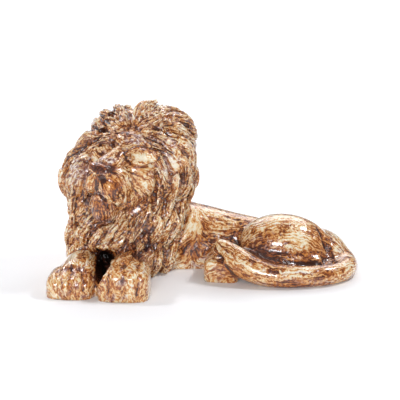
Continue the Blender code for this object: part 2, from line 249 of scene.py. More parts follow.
def hind_leg():
    shank = strands([[(38, -12, 4.0, 3.8), (28, -15.0, 4.4, 3.8), (18, -14.2, 5.0, 4.0),
                      (11, -11, 5.5, 4.2)]], bevel=6)
    bm = bmesh.new()
    lump(bm, (7.0, -12.6, 2.6), (5.6, 5.2, 5.0), turned(z=-8), 4)
    lump(bm, (7.6, -7, 4.0), (5.0, 7.0, 4.5), turned(z=-8), 1)
    lump(bm, (42, -8, 2.0), (5, 9, 4.5))
    lump(bm, (30, -13, 1), (16, 8, 3.2))
    return [shank, mesh_object(bm, "foot")]


def tail():
    return strands([[(42, 4, 3.5, 5), (47.2, -4, 3.0, 4.0), (46.6, -13.5, 2.8, 3.5), (40, -19.0, 2.9, 3.4),
                     (30, -21.0, 2.9, 3.6), (20, -20.0, 3.4, 4.1), (12.5, -16.8, 6.2, 4.6),
                     (8, -14.2, 9.6, 3.7), (4.8, -12.8, 11.4, 2.3)]], bevel=6)


def forelegs():
    legs = strands([
        [(-35.5, 0, 12, 7.5), (-36.0, -12, 5.4, 6.4), (-37.2, -19, 4.6, 6.0), (-38.8, -27, 4.2, 5.7)],
        [(-17, 0, 9, 8.0), (-20.3, -10, 5.6, 6.8), (-22.2, -19, 4.8, 6.3), (-23.2, -28, 4.4, 5.9)]], bevel=6)
    bm = bmesh.new()
    lump(bm, (-30.8, -17, 0.4), (4.5, 12, 2.6))
    lump(bm, (-30.4, -13, 13.2), (5.0, 8.6, 3.4))
    lump(bm, (-39.6, -26.2, 1.2), (7.7, 7.6, 6.4), turned(z=-6), 1.6)
    lump(bm, (-23.3, -28.4, 2.4), (8.0, 7.8, 7.4), turned(z=-3), 3)
    return [legs, mesh_object(bm, "paws")]


def leg_gap():
    """What is cut away between the forelegs, from the paws in under the chest."""
    bm = bmesh.new()
    lump(bm, (-29.9, -15, 7.0), (2.2, 14.5, 4.4), turned(y=16, z=-4))
    lump(bm, (-30.2, -27.5, 8.2), (2.4, 8, 4.8), turned(y=12, z=-4))
    return fused([mesh_object(bm, "leg_gap")], 0, "leg_gap")


def mane_mass():
    bm = bmesh.new()
    head_lump(bm, (-11.5, 1.4, -1.2), (8, 14.0, 13.4), turned(x=3))
    lump(bm, (-17.5, 2, 39.3), (14.2, 13, 12.5), turned(y=-8))
    lump(bm, (-9.9, -6, 36), (7.5, 9, 12))
    lump(bm, (-11, -2, 42.9), (9.1, 9.5, 9.0))
    lump(bm, (-35.8, -4, 31), (8.2, 8, 8.6))
    lump(bm, (-29.0, -2, 39.0), (8.8, 8.6, 8.4))
    lump(bm, (-24, -1, 42), (10.5, 10.5, 10.5))
    lump(bm, (-27, 0, 34), (15.5, 12.5, 12.8), turned(y=-51))
    lump(bm, (-15, 2, 30), (14.2, 13.5, 13))
    lump(bm, (-29.4, -3.5, 22.5), (11.8, 10.5, 14), squareness=1)
    lump(bm, (-19, -5, 19), (13.0, 10.5, 12))
    lump(bm, (-28, -10.5, 15), (10.5, 9.5, 7.5))
    return mesh_object(bm, "mane_mass")


def skull():
    bm = bmesh.new()
    head_lump(bm, (-9, 0, -1), (9.8, 11.0, 9.5))
    head_lump(bm, (-3.2, 0, 2.6), (4.6, 9.6, 3.6))
    head_lump(bm, (-4.6, 0, -7.0), (8.6, 10.0, 11.0))
    head_lump(bm, (3.5, 0, -9.5), (8.2, 6.5, 7.0), squareness=1)
    head_lump(bm, (6.8, 0, -16.4), (4.7, 3.8, 5.4), squareness=0.5)
    head_lump(bm, (-1, 0, -13), (8, 6.8, 7))
    head_lump(bm, (10.7, 0, -4.0), (1.6, 4.2, 2.3), turned(y=-15), 1)
    for side in (1, -1):
        head_lump(bm, (8.2, side * 3.1, -9.6), (3.7, 3.4, 4.4))
    bridge = strands([[(*on_head(f, 0, u), r) for f, u, r in
                       ((-3, -0.6, 4.4), (3, -2.6, 4.2), (8.6, -4.2, 3.7))]], bevel=6)
    return [mesh_object(bm, "skull"), bridge]


def eyes():
    """The eyeballs with their lids."""
    bm = bmesh.new()
    for side in (1, -1):
        head_lump(bm, (-2.1, side * 7.2, 0.2), (2.5, 4.8, 2.1), turned(z=side * 24))
    upper = ((1.8, 2.2, 0.1, 0.6), (1.2, 4.6, 2.3, 0.8), (-0.6, 8.0, 3.1, 0.9), (-4.0, 11.6, 1.7, 0.8))
    lower = ((1.6, 2.4, -0.3, 0.5), (1.0, 5.4, -2.2, 0.6), (-1.4, 8.8, -2.0, 0.6), (-4.2, 11.4, 0.6, 0.6))
    lids = strands([[(*on_head(f, side * s, u), r) for f, s, u, r in lid]
                    for lid in (upper, lower) for side in (1, -1)], bevel=2)
    return fused([lids, mesh_object(bm, "eyes")], 1, "eyes", DETAIL_VOXEL)


def skin_of(obj):
    """A search tree over the object's skin, in units."""
    bm = bmesh.new()
    bm.from_mesh(obj.data)
    bm.transform(Matrix.Scale(1 / UNIT, 4))
    tree = BVHTree.FromBMesh(bm)
    bm.free()
    return tree


def carved(obj, strokes):
    """Presses strokes into the skin: each is a route in units, a half width and a depth."""
    skin = skin_of(obj)
    marks = []
    for route, half_width, depth in strokes:
        found = [skin.find_nearest(Vector(point)) for point in route]
        route = [place for place, _, _, gap in found if gap < STROKE_REACH]
        sizes = [(b - a).length for a, b in zip(route, route[1:])]
        done = 0
        for start, end, size in zip(route, route[1:], sizes):
            pieces = max(1, math.ceil(size / MARK_STEP))
            for i in range(pieces):
                share = (done + size * i / pieces) / sum(sizes)
                taper = min(1, 4 * min(share, 1 - share) + 0.2)
                marks.append((start.lerp(end, i / pieces), half_width, depth * taper))
            done += size
    tree = KDTree(len(marks))
    for i, (place, _, _) in enumerate(marks):
        tree.insert(place, i)
    tree.balance()
    mesh = obj.data
    normals = [vert.normal.copy() for vert in mesh.vertices]
    for vert, normal in zip(mesh.vertices, normals):
        pressed = 0
        for _, i, gap in tree.find_n(vert.co / UNIT, 4):
            _, half_width, depth = marks[i]
            here = depth * math.exp(-(gap / half_width) ** 2)
            if abs(here) > abs(pressed):
                pressed = here
        vert.co -= normal * (pressed * UNIT)
    mesh.update()
    return obj


def arc(points, steps=4):
    """A smooth route through the points, as a Catmull-Rom curve."""
    ends = [points[0], *points, points[-1]]
    route = []
    for a, b, c, d in zip(ends, ends[1:], ends[2:], ends[3:]):
        a, b, c, d = (Vector(p) for p in (a, b, c, d))
        for i in range(steps):
            t = i / steps
            route.append(0.5 * (2 * b + (c - a) * t + (2 * a - 5 * b + 4 * c - d) * t ** 2
                                + (3 * b - a - 3 * c + d) * t ** 3))
    return [*route, Vector(points[-1])]


def face_strokes():
    """The mouth, the nostrils and the hollows of the eyes."""
    strokes = [(arc([on_head(12.8, 0, -6.0), on_head(12.0, 0, -8.5), on_head(11.5, 0, -11)]), 0.8, 0.9)]
    for side in (1, -1):
        mouth = [on_head(11.2, 0, -10.8), on_head(10.8, 2.0 * side, -12.0),
                 on_head(9.4, 3.6 * side, -13.8), on_head(7.2, 4.6 * side, -15.8)]
        strokes.append((arc(mouth), 0.8, 1.8))
        strokes.append(([on_head(12.6, 2.0 * side, -6.0), on_head(12.0, 3.2 * side, -5.8)], 0.9, 1.5))
        socket = [on_head(1.6, 2.6 * side, -0.1), on_head(0.6, 5.6 * side, 0.2),
                  on_head(-1.4, 8.4 * side, 0.6), on_head(-4, 11 * side, 1.2)]
        strokes.append((arc(socket), 2.2, 1.8))
    return strokes


def toe_strokes():
    strokes = []
    for middle, front, width in ((-39.6, -33.4, 15.4), (-23.3, -35.8, 16.0)):
        for share in (-0.27, 0, 0.27):
            x = middle + share * width
            route = [(x, front + 9, 9), (x, front + 2, 7.5), (x, front, 3.5), (x, front, 0)]
            strokes.append((arc(route), 0.8, 0.6))
    return strokes


def body_strokes():
    """Creases round the haunch and where the hind foot lies under the tail."""
    return [
        (arc([(36.5, -6, 14), (40.5, -9.5, 11), (42, -13.5, 7.5), (40, -16.5, 6)]), 1.1, 1.4),
        (arc([(13, -12.5, 7.5), (20, -15.2, 6.0), (30, -16.2, 5.6), (40, -16.5, 6)]), 1.1, 1.2),
        (arc([(6.4, -16, 8.2), (9, -17, 6.8), (12.4, -17.8, 4.5)]), 1.0, 1.6),
    ]


# The parting, from which the hair of the crown lies away.
CROWN = on_head(-1.0, 1.0, 6.4)

# Under the chin, the hair sweeps across: the middle of that place and how far it reaches.
UNDER_CHIN = Vector((-29, -15, 20))
SWEEP_REACH = 8

# The bare face, which the locks surround: the middle, half width and half height.
FACE_MIDDLE = -8
FACE_SIZE = (11.5, 14)


def in_face(point):
    _, side, up = HEAD.transposed() @ (point - EYES)
    return math.hypot(side / FACE_SIZE[0], (up - FACE_MIDDLE) / FACE_SIZE[1]) < 1


def mane_flow(point):
    """The way that the hair lies: away from the face on top, down and inwards below."""
    top = min(1, max(0, (point.z - 30) / 16))
    low = min(1, max(0, (38 - point.z) / 14))
    away = (point - CROWN).normalized() * (0.35 + 1.1 * top)
    down = Vector((0, 0, -1)) * (1 - 0.85 * top)
    inwards = Vector((-0.026 * (point.x + 42), 0, 0)) * low
    sweep = Vector((-1.5, 0, 0)) * math.exp(-((point - UNDER_CHIN).length / SWEEP_REACH) ** 2)
    return away + down + inwards + sweep


def combed(skin, start, length, steps=8):
    """Walks over the skin from start the way the hair lies: points with normals."""
    point, normal, _, _ = skin.find_nearest(start)
    walk = [(point, normal)]
    for _ in range(steps - 1):
        way = mane_flow(point)
        way -= normal * way.dot(normal)
        point, normal, _, _ = skin.find_nearest(point + way.normalized() * (length / (steps - 1)))
        walk.append((point, normal))
    return walk


def lock(skin, start, length, width, lift, phase):
    """One lock's route, full in the middle and lifted at its tip, and the strokes along it."""
    walk = combed(skin, start, length)
    last = len(walk) - 1
    route = []
    lines = [[] for _ in LOCK_LINES]
    for i, (point, normal) in enumerate(walk):
        share = i / last
        along = walk[min(i + 1, last)][0] - walk[max(i - 1, 0)][0]
        across = normal.cross(along.normalized())
        sway = LOCK_SWAY * math.sin(2 * math.pi * phase + 4.2 * share)
        place = point + normal * (lift * share ** 2 - width * 0.25) + across * sway
        fullness = 0.62 + 0.55 * math.sin(math.pi * min(1, share * 1.05 + 0.12))
        radius = max(0.55 + 0.08 * lift, width * fullness * (1 - 0.62 * share ** 3))
        route.append((*place, radius))
        if share > 0.1:
            for line, (offset, _, _) in zip(lines, LOCK_LINES):
                out = across * offset + normal * (1 - 0.6 * abs(offset))
                line.append(place + out * radius)
    strokes = [(line, half_width, depth) for line, (_, half_width, depth) in zip(lines, LOCK_LINES)]
    return route, strokes


def in_mane(point):
    """Whether locks may start at a point: behind the face, down to the elbows."""
    edge = MANE_BACK - MANE_SLOPE * max(0, CHEST_TOP - point.z)
    if point.x > edge or point.z < MANE_FOOT or in_face(point):
        return False
    low, high = ELBOW_DEPTH
    return point.z > ELBOW_TOP or (point.x > ELBOW_LEFT and low < point.y < high)


def varied(size, draw):
    """A lock's own size: under or over the middle one, for a draw between 0 and 1."""
    return size * (1 + LOCK_SPREAD * (2 * draw - 1))


def named_starts(rnd):
    """The locks that fan out over the crown and those that frame the face."""
    starts = []
    for i, lift in enumerate(FAN_LIFTS):
        turn = FAN_TURN + FAN_SPREAD * (i / (len(FAN_LIFTS) - 1) - 0.5) + rnd.uniform(-3, 3)
        turn = math.radians(turn)
        start = CROWN + 2.5 * Vector((math.sin(turn), 0.3, math.cos(turn)))
        width = varied(FINE_LOCK_WIDTH, rnd.random()) + 0.2 * lift
        starts.append((start, varied(FAN_LOCK, rnd.random()), width, lift, rnd.random()))
    for i in range(FRAME_COUNT):
        turn = 2 * math.pi * (i + rnd.uniform(-0.15, 0.15)) / FRAME_COUNT
        length = varied(FRAME_LOCK, rnd.random())
        width = varied(FINE_LOCK_WIDTH, rnd.random())
        if math.cos(turn) < 0.7:
            side = FACE_SIZE[0] * math.sin(turn)
            start = on_head(-4, side, FACE_MIDDLE + FACE_SIZE[1] * math.cos(turn))
            starts.append((start, length, width, 0.3, rnd.random()))
    return starts


def scattered_starts(skin, taken, rnd):
    """The rest of the mane's locks, spread evenly over the skin."""
    starts = []
    taken = list(taken)
    for _ in range(SCATTER_TRIES):
        point = Vector([rnd.uniform(*side) for side in SCATTER_BOX])
        size, thickness, rise, phase = (rnd.random() for _ in range(4))
        start = skin.find_nearest(point)[0]
        if not in_mane(start) or min((start - other).length for other in taken) < LOCK_SPACING:
            continue
        taken.append(start)
        high = start.z > CHEST_TOP
        length, width = (CROWN_LOCK, CROWN_LOCK_WIDTH) if high else (CHEST_LOCK, CHEST_LOCK_WIDTH)
        lift = 0.2 + 0.1 * max(0, start.z - 40) * rise
        starts.append((start, varied(length, size), varied(width, thickness), lift, phase))
    return starts


def mane_locks(obj):
    """Every lock of the mane over the object's skin, as one object, with the strokes along them."""
    rnd = random.Random(3)
    skin = skin_of(obj)
    starts = named_starts(rnd)
    starts += scattered_starts(skin, [start[0] for start in starts], rnd)
    locks = [lock(skin, *start) for start in starts]
    strokes = [stroke for _, along in locks for stroke in along]
    return strands([route for route, _ in locks], bevel=2, resolution=3), strokes


def without(obj, cutter, name):
    cut = obj.modifiers.new("cut", "BOOLEAN")
    cut.operation = "DIFFERENCE"
    cut.object = cutter
    made = evaluated(obj, name)
    bpy.data.objects.remove(cutter)
    return made


def guides():
    """Points with directions along the trunk, limbs and tail, which the glaze runs along."""
    routes = [
        arc([(-20, 2, 12), (-5, 6, 10), (12, 6, 8), (26, 3, 8), (38, 0, 6), (46, -6, 4)]),
        arc([(14, -6, 8), (20, -10, 14), (30, -10, 15), (40, -8, 9)]),
        arc([(5, -12.6, 11.3), (12.5, -16.8, 6.2), (20, -20, 3.4), (30, -21, 3), (40, -19, 3), (46, -12, 3)]),
        arc([(7, -17, 3), (11, -11, 5.5), (18, -14.2, 5), (28, -15, 4.4), (38, -12, 4)]),
        arc([(-36, 0, 8), (-37, -15, 5), (-39, -30, 4), (-39, -34, 1)]),
        arc([(-18, 0, 8), (-22, -15, 5), (-23, -31, 4), (-23, -36, 1)]),
        arc([(-6, 4, 14), (-14, -2, 8), (-20, -12, 6)]),
    ]
    made = []
    for route in routes:
        for start, end in zip(route, route[1:]):
            made.append(((start + end) / 2, (end - start).normalized()))
    return made


# How near the head's own skin a point of the face lies.
FACE_SKIN = 0.8

# How long streaks are on the paws and the mane, as a share of the others.
PAW_STREAK = 0.25
MANE_STREAK = 1.5

# Where the paws are: the forepaws in front of this line, and the hind foot round its middle.
PAW_FRONT = -27
HIND_FOOT = Vector((8, -19, 2.5))
HIND_FOOT_REACH = 6.5

# How often the streaks' directions are averaged with their neighbours'.
FLOW_SMOOTHING = 10


def face_flow(point):
    """Short fur runs back from the nose and across the brow."""
    forward, side, up = HEAD.transposed() @ (point - EYES)
    back = Vector((-0.6, 0.25 * side, 0.35 * (up + 4)))
    if up > 1:
        back = Vector((0, 1, 0.1 * side))
    return (HEAD @ back).normalized()


def flows(obj, head_skin):
    """The way in which the glaze's streaks run at each point, and how long they are."""
    marks = guides()
    tree = KDTree(len(marks))
    for i, (place, _) in enumerate(marks):
        tree.insert(place, i)
    tree.balance()
    directions = np.empty((len(obj.data.vertices), 3))
    for vert in obj.data.vertices:
        point = vert.co / UNIT
        if in_face(point) and head_skin.find_nearest(point)[3] < FACE_SKIN:
            way = face_flow(point)
        elif in_mane(point):
            way = mane_flow(point)
        else:
            way = Vector((0, 0, 0))
            for _, i, gap in tree.find_n(point, 4):
                way += marks[i][1] / (1 + gap * gap)
        way -= vert.normal * way.dot(vert.normal)
        on_paw = point.y < PAW_FRONT or (point - HIND_FOOT).length < HIND_FOOT_REACH
        size = PAW_STREAK if on_paw else MANE_STREAK if in_mane(point) else 1
        directions[vert.index] = way.normalized() * size
    return smoothed(obj, directions, FLOW_SMOOTHING)


def edge_ends(obj):
    edges = np.empty(2 * len(obj.data.edges), dtype=np.int64)
    obj.data.edges.foreach_get("vertices", edges)
    return edges.reshape(-1, 2)


def smoothed(obj, values, rounds):
    """Averages a value at each vertex with its neighbours, some rounds over."""
    ends = edge_ends(obj)
    count = np.zeros(len(values))
    np.add.at(count, ends.ravel(), 1)
    for _ in range(rounds):
        total = np.zeros_like(values)
        np.add.at(total, ends[:, 0], values[ends[:, 1]])
        np.add.at(total, ends[:, 1], values[ends[:, 0]])
        share = total / count.reshape((-1,) + (1,) * (values.ndim - 1))
        values = 0.5 * values + 0.5 * share
    return values


def hollowness(obj, rounds, most):
    """How far each vertex lies under the surface smoothed by some rounds, as a share of most."""
    places = np.empty(3 * len(obj.data.vertices))
    obj.data.vertices.foreach_get("co", places)
    places = places.reshape(-1, 3) / UNIT
    normals = np.empty(3 * len(obj.data.vertices))
    obj.data.vertex_normals.foreach_get("vector", normals)
    depth = ((smoothed(obj, places, rounds) - places) * normals.reshape(-1, 3)).sum(axis=1)
    return np.clip(smoothed(obj, depth, 1) / most, -1, 1)


def keep(obj, name, values):
    """Stores a value or a vector at each vertex for the glaze to read."""
    kind = "FLOAT_VECTOR" if values.ndim == 2 else "FLOAT"
    attribute = obj.data.attributes.new(name, kind, "POINT")
    attribute.data.foreach_set("vector" if values.ndim == 2 else "value", values.astype(np.float32).ravel())


# Where the glaze is lighter or darker, and more mauve: a place, its radii, tone and mauve.
# Most rows are the glaze's own colour; some rows, each noted above it, are painted highlights,
# painted sheen and painted shade.
HEAD_TONES = (
    ((-0.8, 7.4, 0.1), (3.4, 4.2, 1.5), 0.34, -0.6),
    ((-0.4, 7.0, 3.0), (2.6, 4.8, 1.0), -0.14, -0.2),
    ((0, 7.4, -3.2), (3.0, 5.0, 1.2), 0.30, -0.6),
    ((0.3, 8.2, -7.5), (4.0, 3.8, 4.6), 0.16, -0.3),
    ((11.6, 0.2, -2.9), (3.0, 3.4, 1.4), -0.42, 0.2),
    ((9.2, 3.2, -2.9), (2.4, 2.4, 1.5), -0.42, 0.2),
    # Above the nose, where the muzzle's top faces up: painted sheen, light mauve.
    ((9.0, 0.6, -0.6), (3.4, 4.6, 1.1), 0.06, 0.6),
    ((11.2, 2.4, -6.3), (1.2, 1.1, 1.0), -0.5, 0),
    ((9.6, 5.0, -8.0), (3.6, 3.0, 3.3), -0.24, -0.5),
    ((11.6, -1.9, -7.2), (2.5, 2.5, 4.0), 0.10, -0.5),
    ((10.8, 1.4, -15.0), (3.6, 3.4, 3.4), -0.22, -0.6),
    ((9.4, 1.2, -20.0), (4.2, 3.6, 2.0), -0.16, 0.6),
    # The band over the brow, which faces up: painted sheen, mauve-grey.
    ((-0.5, 3.6, 5.2), (3.0, 7.5, 1.6), 0.02, 0.7),
    ((0.7, -6.9, 0.4), (3.0, 2.6, 2.4), 0.12, 0.1),
    # The mane by the lion's right cheek: painted lavender highlights.
    ((8.2, -12.5, -7.0), (4.5, 4.5, 5.0), 0.14, 0.6),
    # Strands of the mane by the lion's left cheek: painted lavender highlights.
    ((-6.0, 13.7, -3.2), (3.5, 3.0, 5.0), 0.16, 0.5),
    ((-1.0, -9.5, 7.0), (1.7, 2.0, 1.2), -0.5, 0.3),
    ((0.4, -12.3, 3.9), (1.7, 2.0, 1.2), -0.5, 0.3),
)
BODY_TONES = (
    # The pocket between the forelegs: painted shade, near black.
    ((-30, -14, 6.6), (2.6, 15, 4.8), -1.8, 0),
    ((4, 0, 15), (11, 7, 5), 0.04, -0.2),
    ((-3, -4, 17), (3.5, 7, 5), 0.16, -0.3),
    ((-2, -4, 7), (9, 5, 4.5), -0.14, -0.1),
    ((8, -19, 3), (6, 5, 5), -0.16, 0),
    ((20.5, -13.5, 11), (6, 5, 4.5), -0.12, 0.2),
    # A painted highlight, cream, on the top of the haunch.
    ((30, -13.5, 13), (4.5, 5, 3.6), 0.22, -0.3),
    ((38, -10, 11), (4, 5, 4), -0.10, -0.3),
    ((30, -12, 10), (15, 9, 8), -0.13, -0.1),
    ((28, -22, 4), (22, 8, 5), -0.15, 0),
    # A painted highlight along the top of the tail.
    ((28, -23.3, 5.4), (14, 3, 1.4), 0.16, 0.1),
    # Painted shade, darker and more mauve, along the tail's underside.
    ((28, -23.9, 1.0), (18, 5, 1.8), -0.12, 0.5),
    ((-16.7, -13.4, 12), (1.3, 3, 5), -0.35, 0.6),
    ((-18.7, -21, 9.7), (1.6, 4, 3), -0.30, 0.6),
    ((-40.4, -14, 10), (4, 6, 6), 0.14, -0.1),
    ((-31, -33, 4), (14, 8, 8), -0.10, 0),
)


def tones(obj):
    """How much lighter and how much more mauve the glaze is at each vertex, painted highlights, sheen and
    shade among it.
    """
    places = np.empty(3 * len(obj.data.vertices))
    obj.data.vertices.foreach_get("co", places)
    places = places.reshape(-1, 3) / UNIT
    in_head = (places - np.array(EYES)) @ np.array(HEAD)
    total = np.zeros((len(places), 2))
    for here, marks in ((in_head, HEAD_TONES), (places, BODY_TONES)):
        for place, radii, tone, mauve in marks:
            gap = (((here - np.array(place)) / np.array(radii)) ** 2).sum(axis=1)
            share = np.exp(-gap ** 2)
            total += share[:, None] * np.array((tone, mauve))
    return total


# How far a dark line reaches to its sides, and the half width from which a stroke on the face
# is a hollow and no line.
INK_WIDTH = 0.5
LINE_HALF_WIDTH = 1


def ink_lines():
    """The lines that the glaze darkens: the mouth, nostrils, eye rims and creases."""
    lines = [route for route, half_width, _ in face_strokes() if half_width < LINE_HALF_WIDTH]
    for side in (1, -1):
        upper = ((2.6, 1.8, 0.2), (1.4, 4.6, 3.3), (-0.6, 8.0, 4.1), (-4.2, 12.2, 2.0))
        lower = ((2.6, 1.8, 0.0), (1.4, 5.4, -2.9), (-1.4, 8.8, -2.8), (-4.2, 12.2, 1.2))
        lines += [arc([on_head(f, side * s, u) for f, s, u in rim]) for rim in (upper, lower)]
    return lines + [route for route, _, _ in body_strokes()]


def inked(obj):
    """How dark the lines make each vertex that lies beside them."""
    marks = []
    for route in ink_lines():
        for start, end in zip(route, route[1:]):
            pieces = math.ceil((end - start).length / MARK_STEP)
            marks += [start.lerp(end, i / pieces) for i in range(pieces)]
    skin = skin_of(obj)
    tree = KDTree(len(marks))
    for i, place in enumerate(marks):
        tree.insert(skin.find_nearest(place)[0], i)
    tree.balance()
    gaps = np.array([tree.find(vert.co / UNIT)[2] for vert in obj.data.vertices])
    return np.exp(-(gaps / INK_WIDTH) ** 2)


# Where the skin keeps all its triangles: the face's middle and radii in the head's coordinates.
FINE_MIDDLE = (4, 0, -8)
FINE_RADII = (13, 13, 17)


def settled(obj):
    """The skin brought down to the triangles allowed, most of them on the face, and cut flat."""
    fine = obj.vertex_groups.new(name="fine")
    places = (np.array([vert.co for vert in obj.data.vertices]) / UNIT - np.array(EYES)) @ np.array(HEAD)
    near = (((places - np.array(FINE_MIDDLE)) / np.array(FINE_RADII)) ** 2).sum(axis=1) < 1
    fine.add(np.flatnonzero(near).tolist(), 1, "REPLACE")
    thin = obj.modifiers.new("thin", "DECIMATE")
    thin.vertex_group = "fine"
    thin.invert_vertex_group = True
    thin.ratio = TRIANGLES / (2 * len(obj.data.polygons))
    obj = evaluated(obj, "lion_figure")
    bm = bmesh.new()
    bm.from_mesh(obj.data)
    whole = bm.verts[:] + bm.edges[:] + bm.faces[:]
    bmesh.ops.bisect_plane(bm, geom=whole, plane_co=(0, 0, 0), plane_no=(0, 0, -1), clear_outer=True)
    rim = [edge for edge in bm.edges if edge.is_boundary]
    bmesh.ops.triangle_fill(bm, edges=rim, use_beauty=True)
    bmesh.ops.recalc_face_normals(bm, faces=bm.faces)
    bm.to_mesh(obj.data)
    bm.free()
    return obj


def lion():
    """The figure's skin, finely modelled, with the directions of its streaks."""
    limbs = fused(body() + hind_leg() + forelegs() + [tail()], 14, "limbs")
    limbs = without(limbs, leg_gap(), "limbs")
    bulk = fused([limbs, fused([mane_mass()], 20, "mane")], 1, "bulk")
    locks, strokes = mane_locks(bulk)
    head = carved(fused(skull(), 4, "head", DETAIL_VOXEL), face_strokes())
    head_skin = skin_of(head)
    figure = fused([bulk, locks, head, eyes()], 1, "lion_figure", DETAIL_VOXEL)
    figure = settled(carved(figure, strokes + toe_strokes() + body_strokes()))
    keep(figure, "flow", flows(figure, head_skin))
    return figure


# The narrow grooves and the wide folds that the glaze reads: rounds of smoothing, and the depth
# that counts in full. A wide swelling counts up to a fifth.
GROOVES = (6, 0.12)
FOLDS = (60, 0.9)
LEAST_FOLD = -0.2


def mark(figure):
    """Keeps what the glaze reads besides the streaks' directions."""
    keep(figure, "hollow", hollowness(figure, *GROOVES))
    keep(figure, "sunk", np.maximum(hollowness(figure, *FOLDS), LEAST_FOLD))
    tone = tones(figure)
    keep(figure, "tone", tone[:, 0])
    keep(figure, "mauve", tone[:, 1])
    keep(figure, "ink", inked(figure))


def centred(obj):
    """Moves the figure's middle over the origin and gives back where it was, in units."""
    corners = np.array([v.co for v in obj.data.vertices])
    middle = (corners.min(axis=0) + corners.max(axis=0)) / 2
    middle = Vector((middle[0], middle[1], 0))
    obj.data.transform(Matrix.Translation(-middle))
    return middle / UNIT


class Nodes:
    """Adds shader nodes to a material, with their inputs given by name."""

    def __init__(self, material):
        self.tree = material.node_tree

    def add(self, kind, inputs=None, **settings):
        node = self.tree.nodes.new(kind)
        for name, value in settings.items():
            setattr(node, name, value)
        for name, value in (inputs or {}).items():
            if isinstance(value, bpy.types.NodeSocket):
                self.tree.links.new(value, node.inputs[name])
            else:
                node.inputs[name].default_value = value
        return node

    def math(self, operation, a, b=0.0, c=0.0):
        return self.add("ShaderNodeMath", {0: a, 1: b, 2: c}, operation=operation).outputs[0]

    def vector(self, operation, a, b):
        return self.add("ShaderNodeVectorMath", {0: a, 1: b}, operation=operation).outputs[0]

    def scaled(self, vector, factor):
        node = self.add("ShaderNodeVectorMath", {0: vector, "Scale": factor}, operation="SCALE")
        return node.outputs[0]

    def ramp(self, value, stops):
        node = self.add("ShaderNodeValToRGB", {"Fac": value})
        line = node.color_ramp
        while len(line.elements) < len(stops):
            line.elements.new(0.5)
        for element, (place, color) in zip(line.elements, stops):
            element.position = place
            element.color = (*color, 1)
        return node.outputs["Color"]

    def shaped(self, value, low, high, least, most):
        """Least up to low, most from high on, and a smooth step between."""
        inputs = {"Value": value, "From Min": low, "From Max": high, "To Min": least, "To Max": most}
        return self.add("ShaderNodeMapRange", inputs, interpolation_type="SMOOTHSTEP").outputs[0]

    def noise(self, place, size, detail=2.0, output="Fac"):
        inputs = {"Vector": place, "Scale": 1 / size, "Detail": detail}
        return self.add("ShaderNodeTexNoise", inputs).outputs[output]

    def streaks(self, place, flow, width, length, samples, detail=1.0):
        """Noise drawn out along the flow: a mean of samples taken along it."""
        total = None
        for i in range(samples):
            offset = length * (i / (samples - 1) - 0.5)
            point = self.vector("ADD", place, self.scaled(flow, offset))
            sample = self.noise(point, width, detail)
            total = sample if total is None else self.math("ADD", total, sample)
        return self.math("DIVIDE", total, float(samples))


# Glaze colours, from where it is thickest to where it is thinnest, warm and mauve; the painted
# highlights, sheen and shade take their colours from the same stops.
WARM_STOPS = (
    (0.00, (0.006, 0.003, 0.002)),
    (0.05, (0.055, 0.015, 0.007)),
    (0.16, (0.120, 0.030, 0.010)),
    (0.34, (0.320, 0.080, 0.014)),
    (0.50, (0.560, 0.200, 0.038)),
    (0.64, (0.700, 0.390, 0.145)),
    (0.80, (0.790, 0.600, 0.330)),
    (1.00, (0.850, 0.780, 0.600)),
)
MAUVE_STOPS = (
    (0.00, (0.006, 0.003, 0.003)),
    (0.05, (0.055, 0.021, 0.019)),
    (0.20, (0.110, 0.045, 0.042)),
    (0.42, (0.230, 0.115, 0.105)),
    (0.64, (0.480, 0.320, 0.290)),
    (1.00, (0.820, 0.760, 0.760)),
)


# The glaze's streaks: their width and length in metres, and the samples that each one averages.
FINE_STREAKS = (0.0026, 0.014, 9)
BROAD_STREAKS = (0.0075, 0.030, 5)
VEIN_STREAKS = (0.0038, 0.014, 5)
VEIL_STREAKS = (0.007, 0.028, 4)

# Shifts that keep the veins and the mauve veil apart from the other streaks.
VEIN_SHIFT = (7.7, 2.9, 4.4)
VEIL_SHIFT = (3.1, 1.7, 5.3)

# Sizes in metres: the patches, the bends of the streaks and how far they go to a side, the
# ripples and waves of the surface, and the height of its relief.
PATCH_SIZE = 0.030
BEND_SIZE = 0.014
BEND_REACH = 0.012
RIPPLE_SIZE = 0.005
WAVE_SIZE = 0.018
RELIEF = 0.0007

# Tones: the middle one, what patches add, what grooves, folds and dark lines add, and the
# darkest one outside the pocket between the forelegs, whose near black is painted shade.
MIDDLE_TONE = 0.48
PATCH_TONE = 0.8
GROOVE_TONE = -0.17
FOLD_TONE = -0.10
INK_TONE = -0.58
DARKEST_TONE = 0.05

# How mauve the glaze is by itself, what the veil and the grooves add, and the most it can be.
MIDDLE_MAUVE = 0.04
VEIL_MAUVE = 5.0
GROOVE_MAUVE = 0.18
MOST_MAUVE = 0.85

# Where a tone is set, the streaks differ less: by how much, and the tone from which it is full.
CALM_SHARE = -1.4
CALM_TONE = 0.4


